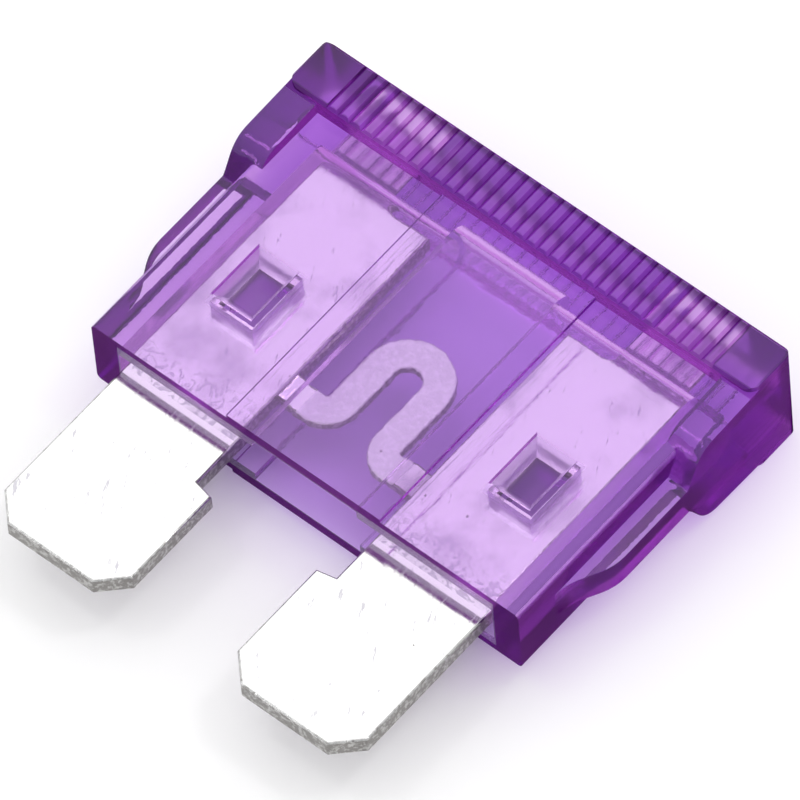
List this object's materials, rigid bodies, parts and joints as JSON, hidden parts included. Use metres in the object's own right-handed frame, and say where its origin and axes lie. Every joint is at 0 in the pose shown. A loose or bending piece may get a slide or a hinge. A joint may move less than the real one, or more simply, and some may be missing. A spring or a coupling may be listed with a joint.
{
  "type": "blade fuse",
  "caption": "Clear violet plug-in blade fuse: a ribbed grip head on a moulded body, with metal blades and an arched fuse link inside.",
  "frame": {"origin": "middle of the footprint, on the surface that the fuse lies on", "axes": "+X from the left blade to the right blade, +Y from the blade tips to the grip head, +Z from the back face up to the front face"},
  "size_m": [0.019, 0.0192, 0.0045],
  "materials": {
    "housing": "clear violet moulded plastic, glossy",
    "fuse_element": "bright plated zinc, satin"
  },
  "bodies": {
    "root": {"housing": "housing", "fuse_element": "fuse_element"}
  },
  "joints": []
}
